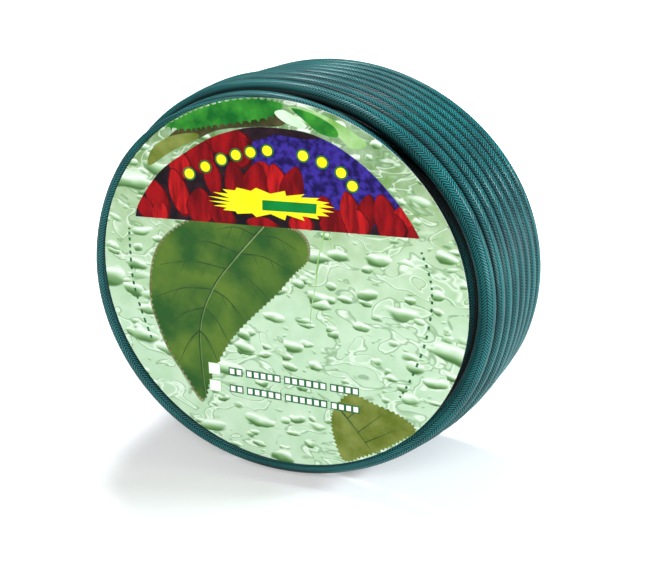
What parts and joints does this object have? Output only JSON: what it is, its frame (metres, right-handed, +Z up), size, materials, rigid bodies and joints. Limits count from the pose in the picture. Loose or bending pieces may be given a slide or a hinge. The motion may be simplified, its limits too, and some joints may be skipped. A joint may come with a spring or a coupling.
{
  "type": "garden hose",
  "caption": "Flexible hose wound in a flat oval coil that stands on its rim, with a round card label across its front and both ends bare and open.",
  "frame": {"origin": "on the floor, under the middle of the coil", "axes": "+X across the coil, +Y through it from the label to the back, +Z up"},
  "size_m": [0.408, 0.1711, 0.3963],
  "materials": {
    "hose_cover": "translucent teal soft PVC over a knitted yarn, semi-gloss",
    "yarn": "teal knitted polyester yarn",
    "liner": "black soft PVC, satin",
    "label_card": "printed card with a satin varnish",
    "foam": "white adhesive foam",
    "tie_nylon": "black nylon, satin"
  },
  "bodies": {
    "root": {"hose_coil": "hose_cover", "hose_front_turn": "hose_cover", "hose_inner_tail": "hose_cover", "outer_end_cover": "hose_cover", "outer_end_yarn": "yarn", "outer_end_liner": "liner", "inner_end_cover": "hose_cover", "inner_end_yarn": "yarn", "inner_end_liner": "liner", "label_disc": "label_card", "label_pads": "foam", "binding_tie_upper": "tie_nylon", "binding_tie_left": "tie_nylon", "binding_tie_right": "tie_nylon"}
  },
  "joints": []
}
